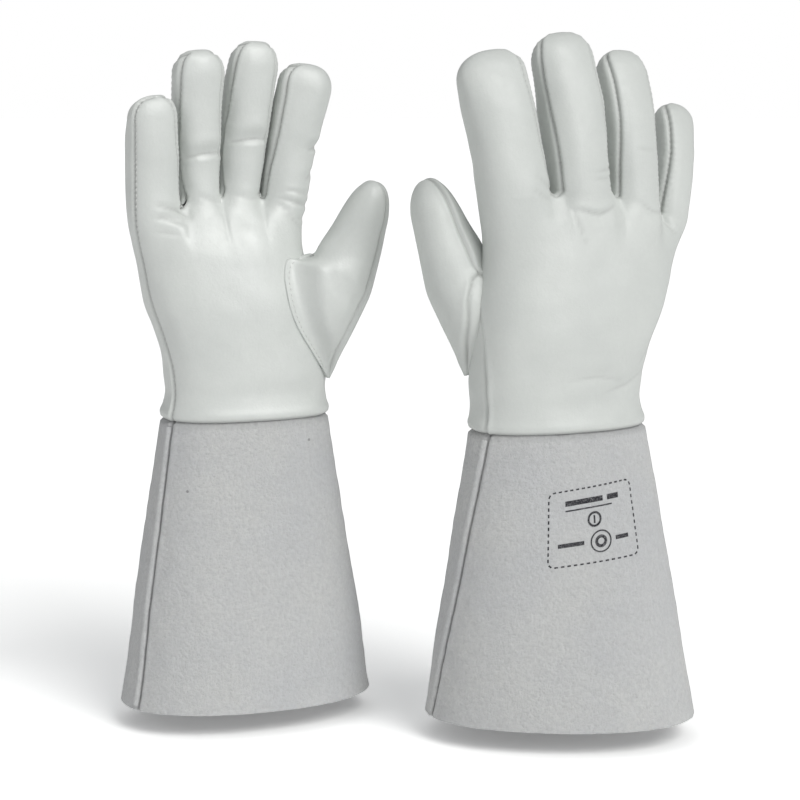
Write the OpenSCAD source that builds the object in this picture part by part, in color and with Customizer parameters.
// Pair of welding gloves: smooth grain leather hands sewn to long split leather cuffs.
// Both gloves are right hands, standing on their cuff hems. One shows its palm to -Y
// and the other its back. Lengths are millimetres and +Z is up.

/* [Leather] */
// Wall thickness of the smooth hand leather
hand_leather = 1.6; // [1.2:0.1:2.4]
// Wall thickness of the suede cuff leather
cuff_leather = 2.0; // [1.4:0.1:3]
// Gap left at every crease where one part of the glove bends against the next
crease_gap = 0.3; // [0.2:0.05:0.6]
// How far the sewn welts stand out of the leather
welt_height = 1.0; // [0.4:0.1:2]
// Width of a sewn welt
welt_width = 3.2; // [2:0.2:6]

/* [Cuff] */
// Height of the wrist seam above the cuff hem
cuff_height = 147; // [100:1:200]
// Half width of the wrist of the palm glove and of the back glove
wrist_width = [43.5, 46.5]; // [30:0.5:60]
// Half depth of the wrist
wrist_depth = 27; // [20:0.5:40]
// Half width of the hem of the palm glove and of the back glove
hem_width = [66, 68]; // [50:1:90]
// Half depth of the hem of the palm glove and of the back glove
hem_depth = [42, 43]; // [30:1:60]
// Twist of the hem about the arm for the palm glove and the back glove, in degrees
hem_twist = [0, -28]; // [-40:1:40]

/* [Hand] */
// Heights of the hand stations above the wrist seam
hand_z = [0, 28, 58, 83]; // [0:1:100]
// Half width of the palm glove's hand at each station
palm_width = [43.5, 42.5, 43.5, 44.5]; // [30:0.5:70]
// Sideways shift of the palm glove's hand at each station
palm_shift = [0, 0.5, -7, -11.5]; // [-25:0.5:10]
// Half width of the back glove's hand at each station
back_width = [46.5, 45.5, 50, 52]; // [30:0.5:70]
// Sideways shift of the back glove's hand at each station
back_shift = [2.5, 3.5, -3, -9]; // [-25:0.5:10]
// Half depth of both hands at each station
hand_depth = [27, 26, 26, 24]; // [15:0.5:35]
// Corner roundness of the hand sections, where 2 is an ellipse
hand_round = 2.35; // [2:0.05:3]

/* [Palm Glove Fingers] */
// Length of the little, ring, middle and index fingers
palm_length = [57, 74, 77, 69]; // [40:1:100]
// Sideways place of each finger's base
palm_x = [-48.3, -23.6, -1.8, 21.2]; // [-80:0.1:60]
// Height of each finger's base above the wrist seam
palm_z = [108.5, 114.5, 116.5, 112.5]; // [80:0.5:130]
// Sideways lean of each finger in degrees, positive towards the thumb
palm_splay = [-3, -1.9, 5, 9.1]; // [-20:0.1:20]
// Half width of each finger at its base
palm_base = [13, 10.2, 10.5, 11.6]; // [8:0.1:22]
// Half width of each finger at its tip
palm_tip = [12, 13.4, 12.8, 14]; // [8:0.1:22]
// How far the fingers bend forward between base and tip, in degrees
palm_curl = 22; // [0:1:40]

/* [Back Glove Fingers] */
// Length of the little, ring, middle and index fingers
back_length = [57, 73, 77, 72]; // [40:1:100]
// Sideways place of each finger's base
back_x = [-62, -36.5, -5.8, 29.5]; // [-80:0.1:60]
// Height of each finger's base above the wrist seam
back_z = [103.5, 114.5, 119, 116]; // [80:0.5:130]
// Sideways lean of each finger in degrees, positive towards the thumb
back_splay = [-11.2, -0.4, 4.1, 8]; // [-20:0.1:20]
// Half width of each finger at its base
back_base = [10, 13, 15, 17.2]; // [8:0.1:22]
// Half width of each finger at its tip
back_tip = [11, 13.5, 16, 17.8]; // [8:0.1:22]
// How far the fingers bend forward between base and tip, in degrees
back_curl = 14; // [0:1:40]

/* [Both Sets of Fingers] */
// Front to back place of each finger's base
finger_y = [-6, 1.5, 4, 2]; // [-20:0.5:20]
// Half depth of each finger at its base
finger_base_depth = [12.7, 14.2, 15.5, 15.5]; // [8:0.1:22]
// Half depth of each finger at its tip
finger_tip_depth = [11.2, 12.5, 13.5, 13.5]; // [8:0.1:22]
// Corner roundness of the finger sections, where 2 is an ellipse
finger_round = 2.5; // [2:0.05:3.5]
// Angle of the two finger seams from the finger's side, in degrees
gusset_angle = 38; // [15:1:60]
// How much thinner the fingers become from half way up to the tip
tip_taper = 0.5; // [0:0.05:0.7]

/* [Thumb] */
// Height of the thumb's heel above the wrist seam
thumb_heel = 20; // [5:1:40]
// Length of the thumb from heel to tip
thumb_length = 99; // [70:1:130]
// Greatest half width of the thumb, where it joins the palm
thumb_width = 25; // [18:0.5:32]
// Half width of the thumb near its tip
thumb_tip = 13; // [9:0.5:18]
// Sideways place of the thumb's heel
thumb_x = 38.3; // [20:0.5:50]
// How far the thumb's tip stands out sideways from its heel
thumb_out = 22; // [0:1:40]

/* [Placement] */
// Turn of the palm glove and of the back glove about the vertical, in degrees
glove_turn = [20, 205]; // [0:1:360]
// Sideways place of the palm glove and of the back glove
glove_x = [-84.7, 76.8]; // [-150:0.1:150]
// Front to back place of the palm glove and of the back glove
glove_y = [15.3, -18.7]; // [-60:0.1:60]

/* [Colours] */
// Smooth grain leather
grain_colour = "#E6E9E4";
// Split leather of the cuffs
suede_colour = "#C9CBCA";
// Leather welts sewn into the seams
welt_colour = "#D4D8D3";

/* [Hidden] */
// Heights and widths as one list per glove: 0 is the palm glove, 1 the back glove.
HAND_Z = [for (z = hand_z) z + cuff_height];
HAND_W = [palm_width, back_width];
HAND_X = [palm_shift, back_shift];
F_LEN = [palm_length, back_length];
F_X = [palm_x, back_x];
F_Z = [palm_z, back_z];
F_SPLAY = [palm_splay, back_splay];
F_BASE = [palm_base, back_base];
F_TIP = [palm_tip, back_tip];
F_CURL = [palm_curl, back_curl];
F_LEAN = [3, 3, 2, 2];
F_ROLL = [8, 4, 0, -4];
// Where the panels meet, as angles round each section.
LITTLE_SEAM = 205;
WRIST_SEAM = 200;
THUMB_SEAM = [-42, 140, 318];
// Rows of the lofts, as fractions of the length.
F_ROWS = [0, 0.2, 0.4, 0.6, 0.72, 0.8, 0.87, 0.92, 0.96, 0.985];
GUSSET_ROWS = 8;
GUSSET_END = 0.96;
DOME = 0.78;
HAND_ROWS = [0, 0.12, 0.5, 1, 1.5, 2, 2.5, 3, 3.35, 3.7, 4];
T_ROWS = [0.05, 0.12, 0.2, 0.3, 0.4, 0.5, 0.6, 0.7, 0.82, 0.89, 0.94, 0.975, 0.993];
CUFF_ROWS = [0, 0.2, 0.4, 0.6, 0.8, 1];
CUFF_STEPS = concat([0, 5], [for (a = [16 : 12 : 160]) a], [175, 180]);
CROTCH_DIP = 2.5;
CROTCH_TRIM = 1.5;

// ---- small functions ----
function sup(c, n) = sign(c) * pow(abs(c), 2 / n);
function lerp(a, b, t) = a + (b - a) * t;
function ease(t) = let (s = min(1, max(0, t))) s * s * (3 - 2 * s);
function oval(a, b, n, th) = [a * sup(cos(th), n), b * sup(sin(th), n)];
function curve(v, s) =
    let (m = len(v) - 1, i = min(m - 1, max(0, floor(s))), t = s - i,
         b = v[i], c = v[i + 1],
         a = i > 0 ? v[i - 1] : 2 * b - c, d = i + 1 < m ? v[i + 2] : 2 * c - b)
    b + 0.5 * t * (c - a + t * (2 * a - 5 * b + 4 * c - d + t * (3 * (b - c) + d - a)));

// ---- the hand's sections ----
// Point on the hand at station s (0 at the wrist, 3 at the knuckles) and angle th.
function hand_point(g, s, th, inset) =
    let (p = oval(curve(HAND_W[g], s) - inset, curve(hand_depth, s) - inset, hand_round, th))
    [p[0] + curve(HAND_X[g], s), p[1], curve(HAND_Z, s) + max(0, crease_gap / 2 * (1 - 5 * s))];

// ---- the fingers ----
function finger_w(g, f, t) = lerp(F_BASE[g][f], F_TIP[g][f], t);
function finger_d(f, t) = lerp(finger_base_depth[f], finger_tip_depth[f], t)
    * (1 - tip_taper * pow(max(0, 2 * t - 1), 1.5));
function dome(t) = t <= DOME ? 1 : sqrt(max(0, 1 - pow((t - DOME) / (1 - DOME), 2)));
function finger_out(g, f) = [sin(F_SPLAY[g][f]), 0, cos(F_SPLAY[g][f])];
function finger_side(g, f) = [cos(F_SPLAY[g][f]), 0, -sin(F_SPLAY[g][f])];
function finger_base(g, f) = [F_X[g][f], finger_y[f], F_Z[g][f] + cuff_height];
function finger_centre(g, f, t) =
    let (k = F_CURL[g], k0 = F_LEAN[f], r = F_LEN[g][f] * 180 / PI / k)
    finger_base(g, f)
        + r * (sin(k0 + k * t) - sin(k0)) * finger_out(g, f)
        - [0, r * (cos(k0) - cos(k0 + k * t)), 0];
function finger_point(g, f, t, th, inset) =
    let (k = F_LEAN[f] + F_CURL[g] * t, q = F_ROLL[f],
         up = finger_out(g, f), side = finger_side(g, f),
         n = [0, cos(k), 0] + sin(k) * up,
         along = cos(k) * up - [0, sin(k), 0],
         x = cos(q) * side + sin(q) * n, y = cos(q) * n - sin(q) * side,
         p = dome(t) * oval(finger_w(g, f, t) - inset, finger_d(f, t) - inset, finger_round, th))
    finger_centre(g, f, t * (1 - inset / F_LEN[g][f])) + p[0] * x + p[1] * y
        + max(0, crease_gap / 2 * (1 - 5 * t)) * along;
// Seams run at a steady angle, then close to a point over the fingertip.
function closing(t) = 1 - ease((t - 0.6) / (GUSSET_END - 0.6));
function seam(t) = gusset_angle * closing(t);
function little_seam(t) = 180 + (LITTLE_SEAM - 180) * closing(t);
function front_from(f, t) = f == 0 ? little_seam(t) : 180 + seam(t);
function front_to(f, t) = f == 3 ? 360 : 360 - seam(t);
function back_from(f, t) = f == 3 ? 0 : seam(t);
function back_to(f, t) = f == 0 ? little_seam(t) : 180 - seam(t);
function segments(f) = f == 0 || f == 3 ? 8 : 6;

// ---- sheets ----
// A sheet is a grid of outer points, the matching grid of inner points and four edges.
function grid_faces(rows, cols, k, flip) = [
    for (i = [0 : rows - 2], j = [0 : cols - 2], h = [0, 1])
        let (a = k + i * cols + j, b = a + 1, c = a + cols, d = c + 1,
             tri = h == 0 ? [a, b, d] : [a, d, c])
        flip ? [tri[0], tri[2], tri[1]] : tri
];
// Both sheets at a shared edge cut it along the same diagonal, so that their faces meet.
function edge_faces(loop, k) = [
    for (i = [0 : len(loop) - 1], h = [0, 1])
        let (a = loop[i], b = loop[(i + 1) % len(loop)])
        a < b
            ? (h == 0 ? [a, b, b + k] : [a, b + k, a + k])
            : (h == 0 ? [a, b, a + k] : [b, b + k, a + k])
];
module sheet(outer, inner) {
    rows = len(outer);
    cols = len(outer[0]);
    k = rows * cols;
    loop = concat(
        [for (j = [0 : cols - 1]) j],
        [for (i = [1 : rows - 1]) i * cols + cols - 1],
        [for (j = [cols - 2 : -1 : 0]) (rows - 1) * cols + j],
        [for (i = [rows - 2 : -1 : 1]) i * cols]
    );
    polyhedron(
        points = concat([for (r = outer) each r], [for (r = inner) each r]),
        faces = concat(
            grid_faces(rows, cols, 0, true),
            grid_faces(rows, cols, k, false),
            edge_faces(loop, k)
        ),
        convexity = 8
    );
}
// A sheet whose last row closes to one point.
module tip_sheet(outer, inner, apex, inner_apex) {
    rows = len(outer);
    cols = len(outer[0]);
    k = rows * cols + 1;
    last = (rows - 1) * cols;
    loop = concat(
        [for (j = [0 : cols - 1]) j],
        [for (i = [1 : rows - 1]) i * cols + cols - 1],
        [rows * cols],
        [for (i = [rows - 1 : -1 : 1]) i * cols]
    );
    polyhedron(
        points = concat([for (r = outer) each r], [apex], [for (r = inner) each r], [inner_apex]),
        faces = concat(
            grid_faces(rows, cols, 0, true),
            grid_faces(rows, cols, k, false),
            [for (j = [0 : cols - 2]) [last + j, rows * cols, last + j + 1]],
            [for (j = [0 : cols - 2]) [k + last + j, k + last + j + 1, k + rows * cols]],
            edge_faces(loop, k)
        ),
        convexity = 8
    );
}

// ---- finger panels ----
// A finger panel runs from the base crease to the fingertip between two seam angles.
function finger_row(g, f, t, from, to, n, inset) =
    [for (j = [0 : n]) finger_point(g, f, t, lerp(from, to, j / n), inset)];
module finger_front(g, f) {
    n = segments(f);
    tip_sheet(
        [for (t = F_ROWS) finger_row(g, f, t, front_from(f, t), front_to(f, t), n, 0)],
        [for (t = F_ROWS) finger_row(g, f, t, front_from(f, t), front_to(f, t), n, hand_leather)],
        finger_point(g, f, 1, 0, 0),
        finger_point(g, f, 1, 0, hand_leather)
    );
}
module finger_back(g, f) {
    n = segments(f);
    tip_sheet(
        [for (t = F_ROWS) finger_row(g, f, t, back_from(f, t), back_to(f, t), n, 0)],
        [for (t = F_ROWS) finger_row(g, f, t, back_from(f, t), back_to(f, t), n, hand_leather)],
        finger_point(g, f, 1, 0, 0),
        finger_point(g, f, 1, 0, hand_leather)
    );
}
// The gusset is the strip down one side of a finger, centred on angle mid.
module finger_gusset(g, f, mid) {
    rows = [for (i = [0 : GUSSET_ROWS - 1]) F_ROWS[i]];
    tip_sheet(
        [for (t = rows) finger_row(g, f, t, mid - seam(t), mid + seam(t), 4, 0)],
        [for (t = rows) finger_row(g, f, t, mid - seam(t), mid + seam(t), 4, hand_leather)],
        finger_point(g, f, GUSSET_END, mid, 0),
        finger_point(g, f, GUSSET_END, mid, hand_leather)
    );
}

// ---- the hand ----
// The hand's top edge follows the finger bases, one crease gap below them.
function crease_point(g, f, th, inset) =
    finger_point(g, f, 0, th, inset)
        - crease_gap * (cos(F_LEAN[f]) * finger_out(g, f) - [0, sin(F_LEAN[f]), 0]);
function crotch_point(g, f, bend, inset) =
    (crease_point(g, f, bend, inset) + crease_point(g, f + 1, 180 - bend, inset)) / 2
        - [0, 0, CROTCH_DIP + inset];
// Each entry of the top edge is the finger, its angle and whether it is a crotch.
function front_edge() = [
    for (f = [0 : 3]) each concat(
        [for (j = [0 : segments(f)]) [f, lerp(front_from(f, 0), front_to(f, 0), j / segments(f)), false]],
        f < 3 ? [[f, -gusset_angle, true]] : []
    )
];
function back_edge() = [
    for (f = [3 : -1 : 0]) each concat(
        [for (j = [0 : segments(f)]) [f, lerp(back_from(f, 0), back_to(f, 0), j / segments(f)), false]],
        f > 0 ? [[f - 1, gusset_angle, true]] : []
    )
];
function edge_point(g, e, inset) =
    e[2] ? crotch_point(g, e[0], e[1], inset) : crease_point(g, e[0], e[1], inset);
// Angle on the knuckle section directly below a point of the top edge.
function knuckle_angle(g, e) =
    let (x = edge_point(g, e, 0)[0],
         left = crease_point(g, 0, 180, 0)[0], right = crease_point(g, 3, 0, 0)[0],
         c = min(1, max(-1, 2 * (x - left) / (right - left) - 1)),
         a = acos(sign(c) * pow(abs(c), hand_round / 2)))
    e[1] > 180 || e[1] < 0 ? 360 - a : a;
function seam_knuckle(g) = knuckle_angle(g, [0, LITTLE_SEAM, false]);
function wrist_angle(g, e, front) =
    let (a = knuckle_angle(g, e), s = seam_knuckle(g))
    front ? WRIST_SEAM + 180 * (a - s) / (360 - s) : WRIST_SEAM - 180 * (s - a) / s;
function hand_row_point(g, s, e, front, inset) =
    let (a = lerp(wrist_angle(g, e, front), knuckle_angle(g, e), ease(s / 3)),
         p = hand_point(g, min(3, s), a, inset),
         q = edge_point(g, e, inset),
         k = ease(s - 3), r = max(0, s - 3))
    [lerp(p[0], q[0], k), lerp(p[1], q[1], k), lerp(p[2], q[2], r)];
function hand_grid(g, front, inset) =
    let (edge = front ? front_edge() : back_edge())
    [for (s = HAND_ROWS) [for (e = edge) hand_row_point(g, s, e, front, inset)]];
module hand_panel(g, front) {
    resize([0, 0, 0]) difference() {
        sheet(hand_grid(g, front, 0), hand_grid(g, front, hand_leather));
        thumb_body(hand_leather);
    }
}
// A closed body the size of the hand's outside, grown by the crease gap.
module hand_body(g) {
    front = hand_grid(g, true, -crease_gap);
    back = hand_grid(g, false, -crease_gap);
    rings = [for (i = [0 : len(HAND_ROWS) - 1]) concat(
        [for (j = [0 : len(front[0]) - 2]) front[i][j]],
        [for (j = [0 : len(back[0]) - 2]) back[i][j]]
    )];
    closed_loft(rings, [0, 0, HAND_Z[0] + crease_gap / 2], [F_X[g][1] / 2, 0, F_Z[g][1] + cuff_height - 5]);
}
// A closed loft through rings of points with a point at each end.
module closed_loft(rings, foot, top) {
    rows = len(rings);
    cols = len(rings[0]);
    k = rows * cols;
    polyhedron(
        points = concat([for (r = rings) each r], [foot, top]),
        faces = concat(
            [for (i = [0 : rows - 2], j = [0 : cols - 1], h = [0, 1])
                let (a = i * cols + j, b = i * cols + (j + 1) % cols, c = a + cols, d = b + cols)
                h == 0 ? [a, d, b] : [a, c, d]],
            [for (j = [0 : cols - 1]) [j, (j + 1) % cols, k]],
            [for (j = [0 : cols - 1])
                [(rows - 1) * cols + j, k + 1, (rows - 1) * cols + (j + 1) % cols]]
        ),
        convexity = 8
    );
}
// The small trough of leather between two finger bases.
module crotch(g, f) {
    bends = [for (i = [0 : 4]) lerp(-gusset_angle, gusset_angle - CROTCH_TRIM, i / 4)];
    sheet(
        [for (b = bends) crotch_row(g, f, b, 0)],
        [for (b = bends) crotch_row(g, f, b, hand_leather)]
    );
}
function crotch_row(g, f, b, inset) = [
    crease_point(g, f, b, inset), crotch_point(g, f, b, inset), crease_point(g, f + 1, 180 - b, inset)
];
// The rolled leather edge that sits over the wrist seam.
module wrist_roll(g, front) {
    edge = front ? front_edge() : back_edge();
    base = [for (s = [0, 0.12]) [for (e = edge) hand_row_point(g, s, e, front, 0)]];
    sheet(
        [for (i = [0, 1]) [for (j = [0 : len(edge) - 1])
            hand_row_point(g, [0.02, 0.1][i], edge[j], front, -welt_height)]],
        base
    );
}

// ---- the thumb ----
function thumb_w(t) =
    t < 0.5 ? thumb_width * sin(180 * t) : lerp(thumb_width, thumb_tip, ease((t - 0.5) / 0.3));
function thumb_d(t) = 17 * sin(min(90, 225 * t)) - 4.5 * ease((t - 0.4) / 0.4);
function thumb_dome(t) = t <= 0.82 ? 1 : sqrt(max(0, 1 - pow((t - 0.82) / 0.18, 2)));
function thumb_centre(t) = [
    thumb_x + thumb_out * ease((t - 0.42) / 0.5) - 4 * (1 - ease(t / 0.2)),
    -12 - 16 * t * t,
    cuff_height + thumb_heel + thumb_length * t
];
function thumb_point(t, th, inset) =
    let (p = thumb_dome(t) * oval(max(0.4, thumb_w(t) - inset), max(0.4, thumb_d(t) - inset), 2.3, th))
    thumb_centre(t > 0.82 ? t - inset / thumb_length * (t - 0.82) / 0.18 : t)
        + [p[0] * cos(15), p[1], -p[0] * sin(15)];
function thumb_grid(from, to, n, inset) =
    [for (t = T_ROWS) [for (j = [0 : n]) thumb_point(t, lerp(from, to, j / n), inset)]];
module thumb_body(inset) {
    closed_loft(
        [for (r = thumb_grid(0, 360, 24, inset)) [for (j = [0 : 23]) r[j]]],
        thumb_centre(0.02),
        thumb_point(1, 0, inset)
    );
}
module thumb_panel(g, part) {
    from = THUMB_SEAM[part];
    to = THUMB_SEAM[part + 1];
    resize([0, 0, 0]) difference() {
        tip_sheet(
            thumb_grid(from, to, 12, 0),
            thumb_grid(from, to, 12, hand_leather),
            thumb_point(1, 0, 0),
            thumb_point(1, 0, hand_leather)
        );
        hand_body(g);
    }
}

// ---- the cuff ----
function cuff_point(g, v, th, inset) =
    let (p = oval(
            lerp(hem_width[g], wrist_width[g], v) - inset,
            lerp(hem_depth[g], wrist_depth, v) - inset,
            lerp(2.2, hand_round, v), th),
         q = hem_twist[g] * (1 - v))
    [
        p[0] * cos(q) - p[1] * sin(q) + HAND_X[g][0] * v,
        p[0] * sin(q) + p[1] * cos(q),
        (cuff_height - crease_gap / 2) * v
    ];
function cuff_grid(g, from, inset) =
    [for (v = concat([-0.02], CUFF_ROWS)) [for (a = CUFF_STEPS) cuff_point(g, v, from + a, inset)]];
module above_floor() {
    difference() {
        children();
        translate([-200, -200, -20]) cube([400, 400, 20]);
    }
}
module cuff_panel(g, from) {
    above_floor() sheet(cuff_grid(g, from, 0), cuff_grid(g, from, cuff_leather));
}
// A welt is a raised strip beside the seam at angle th, on the edge of one panel.
module cuff_welt(g, th) {
    sheet(
        [for (v = CUFF_ROWS) [for (a = [-4.2, -0.8]) cuff_point(g, v, th + a, -welt_height)]],
        [for (v = CUFF_ROWS) [for (a = [-5, 0]) cuff_point(g, v, th + a, 0)]]
    );
}

// ---- nodes ----
module place(g) {
    translate([glove_x[g], glove_y[g], 0]) rotate([0, 0, glove_turn[g]]) children();
}
module cuff_front_node(g) color(suede_colour) place(g) cuff_panel(g, WRIST_SEAM);
module cuff_back_node(g) color(suede_colour) place(g) cuff_panel(g, WRIST_SEAM - 180);
module cuff_welts_node(g) color(welt_colour) place(g) {
    cuff_welt(g, WRIST_SEAM);
    cuff_welt(g, WRIST_SEAM - 180);
}
module hand_front_node(g) color(grain_colour) place(g) hand_panel(g, true);
module hand_back_node(g) color(grain_colour) place(g) hand_panel(g, false);
module hand_crotches_node(g) color(grain_colour) place(g) {
    crotch(g, 0);
    crotch(g, 1);
    crotch(g, 2);
}
module hand_welt_node(g) color(welt_colour) place(g) {
    wrist_roll(g, true);
    wrist_roll(g, false);
}
module thumb_front_node(g) color(grain_colour) place(g) thumb_panel(g, 1);
module thumb_back_node(g) color(grain_colour) place(g) thumb_panel(g, 0);
module finger_front_node(g, f) color(grain_colour) place(g) finger_front(g, f);
module finger_back_node(g, f) color(grain_colour) place(g) finger_back(g, f);
module thumb_side_gusset_node(g, f) color(grain_colour) place(g) finger_gusset(g, f, 0);
module little_side_gusset_node(g, f) color(grain_colour) place(g) finger_gusset(g, f, 180);
module gussets_node(g, f) {
    thumb_side_gusset_node(g, f);
    little_side_gusset_node(g, f);
}

module palm_cuff_front() cuff_front_node(0);
module palm_cuff_back() cuff_back_node(0);
module palm_cuff_welts() cuff_welts_node(0);
module palm_hand_front() hand_front_node(0);
module palm_hand_back() hand_back_node(0);
module palm_hand_crotches() hand_crotches_node(0);
module palm_hand_welt() hand_welt_node(0);
module palm_thumb_front() thumb_front_node(0);
module palm_thumb_back() thumb_back_node(0);
module palm_little_front() finger_front_node(0, 0);
module palm_little_back() finger_back_node(0, 0);
module palm_little_gusset() thumb_side_gusset_node(0, 0);
module palm_ring_front() finger_front_node(0, 1);
module palm_ring_back() finger_back_node(0, 1);
module palm_ring_gussets() gussets_node(0, 1);
module palm_middle_front() finger_front_node(0, 2);
module palm_middle_back() finger_back_node(0, 2);
module palm_middle_gussets() gussets_node(0, 2);
module palm_index_front() finger_front_node(0, 3);
module palm_index_back() finger_back_node(0, 3);
module palm_index_gusset() little_side_gusset_node(0, 3);
module back_cuff_front() cuff_front_node(1);
module back_cuff_back() cuff_back_node(1);
module back_cuff_welts() cuff_welts_node(1);
module back_hand_front() hand_front_node(1);
module back_hand_back() hand_back_node(1);
module back_hand_crotches() hand_crotches_node(1);
module back_hand_welt() hand_welt_node(1);
module back_thumb_front() thumb_front_node(1);
module back_thumb_back() thumb_back_node(1);
module back_little_front() finger_front_node(1, 0);
module back_little_back() finger_back_node(1, 0);
module back_little_gusset() thumb_side_gusset_node(1, 0);
module back_ring_front() finger_front_node(1, 1);
module back_ring_back() finger_back_node(1, 1);
module back_ring_gussets() gussets_node(1, 1);
module back_middle_front() finger_front_node(1, 2);
module back_middle_back() finger_back_node(1, 2);
module back_middle_gussets() gussets_node(1, 2);
module back_index_front() finger_front_node(1, 3);
module back_index_back() finger_back_node(1, 3);
module back_index_gusset() little_side_gusset_node(1, 3);

palm_cuff_front();
palm_cuff_back();
palm_cuff_welts();
palm_hand_front();
palm_hand_back();
palm_hand_crotches();
palm_hand_welt();
palm_thumb_front();
palm_thumb_back();
palm_little_front();
palm_little_back();
palm_little_gusset();
palm_ring_front();
palm_ring_back();
palm_ring_gussets();
palm_middle_front();
palm_middle_back();
palm_middle_gussets();
palm_index_front();
palm_index_back();
palm_index_gusset();
back_cuff_front();
back_cuff_back();
back_cuff_welts();
back_hand_front();
back_hand_back();
back_hand_crotches();
back_hand_welt();
back_thumb_front();
back_thumb_back();
back_little_front();
back_little_back();
back_little_gusset();
back_ring_front();
back_ring_back();
back_ring_gussets();
back_middle_front();
back_middle_back();
back_middle_gussets();
back_index_front();
back_index_back();
back_index_gusset();
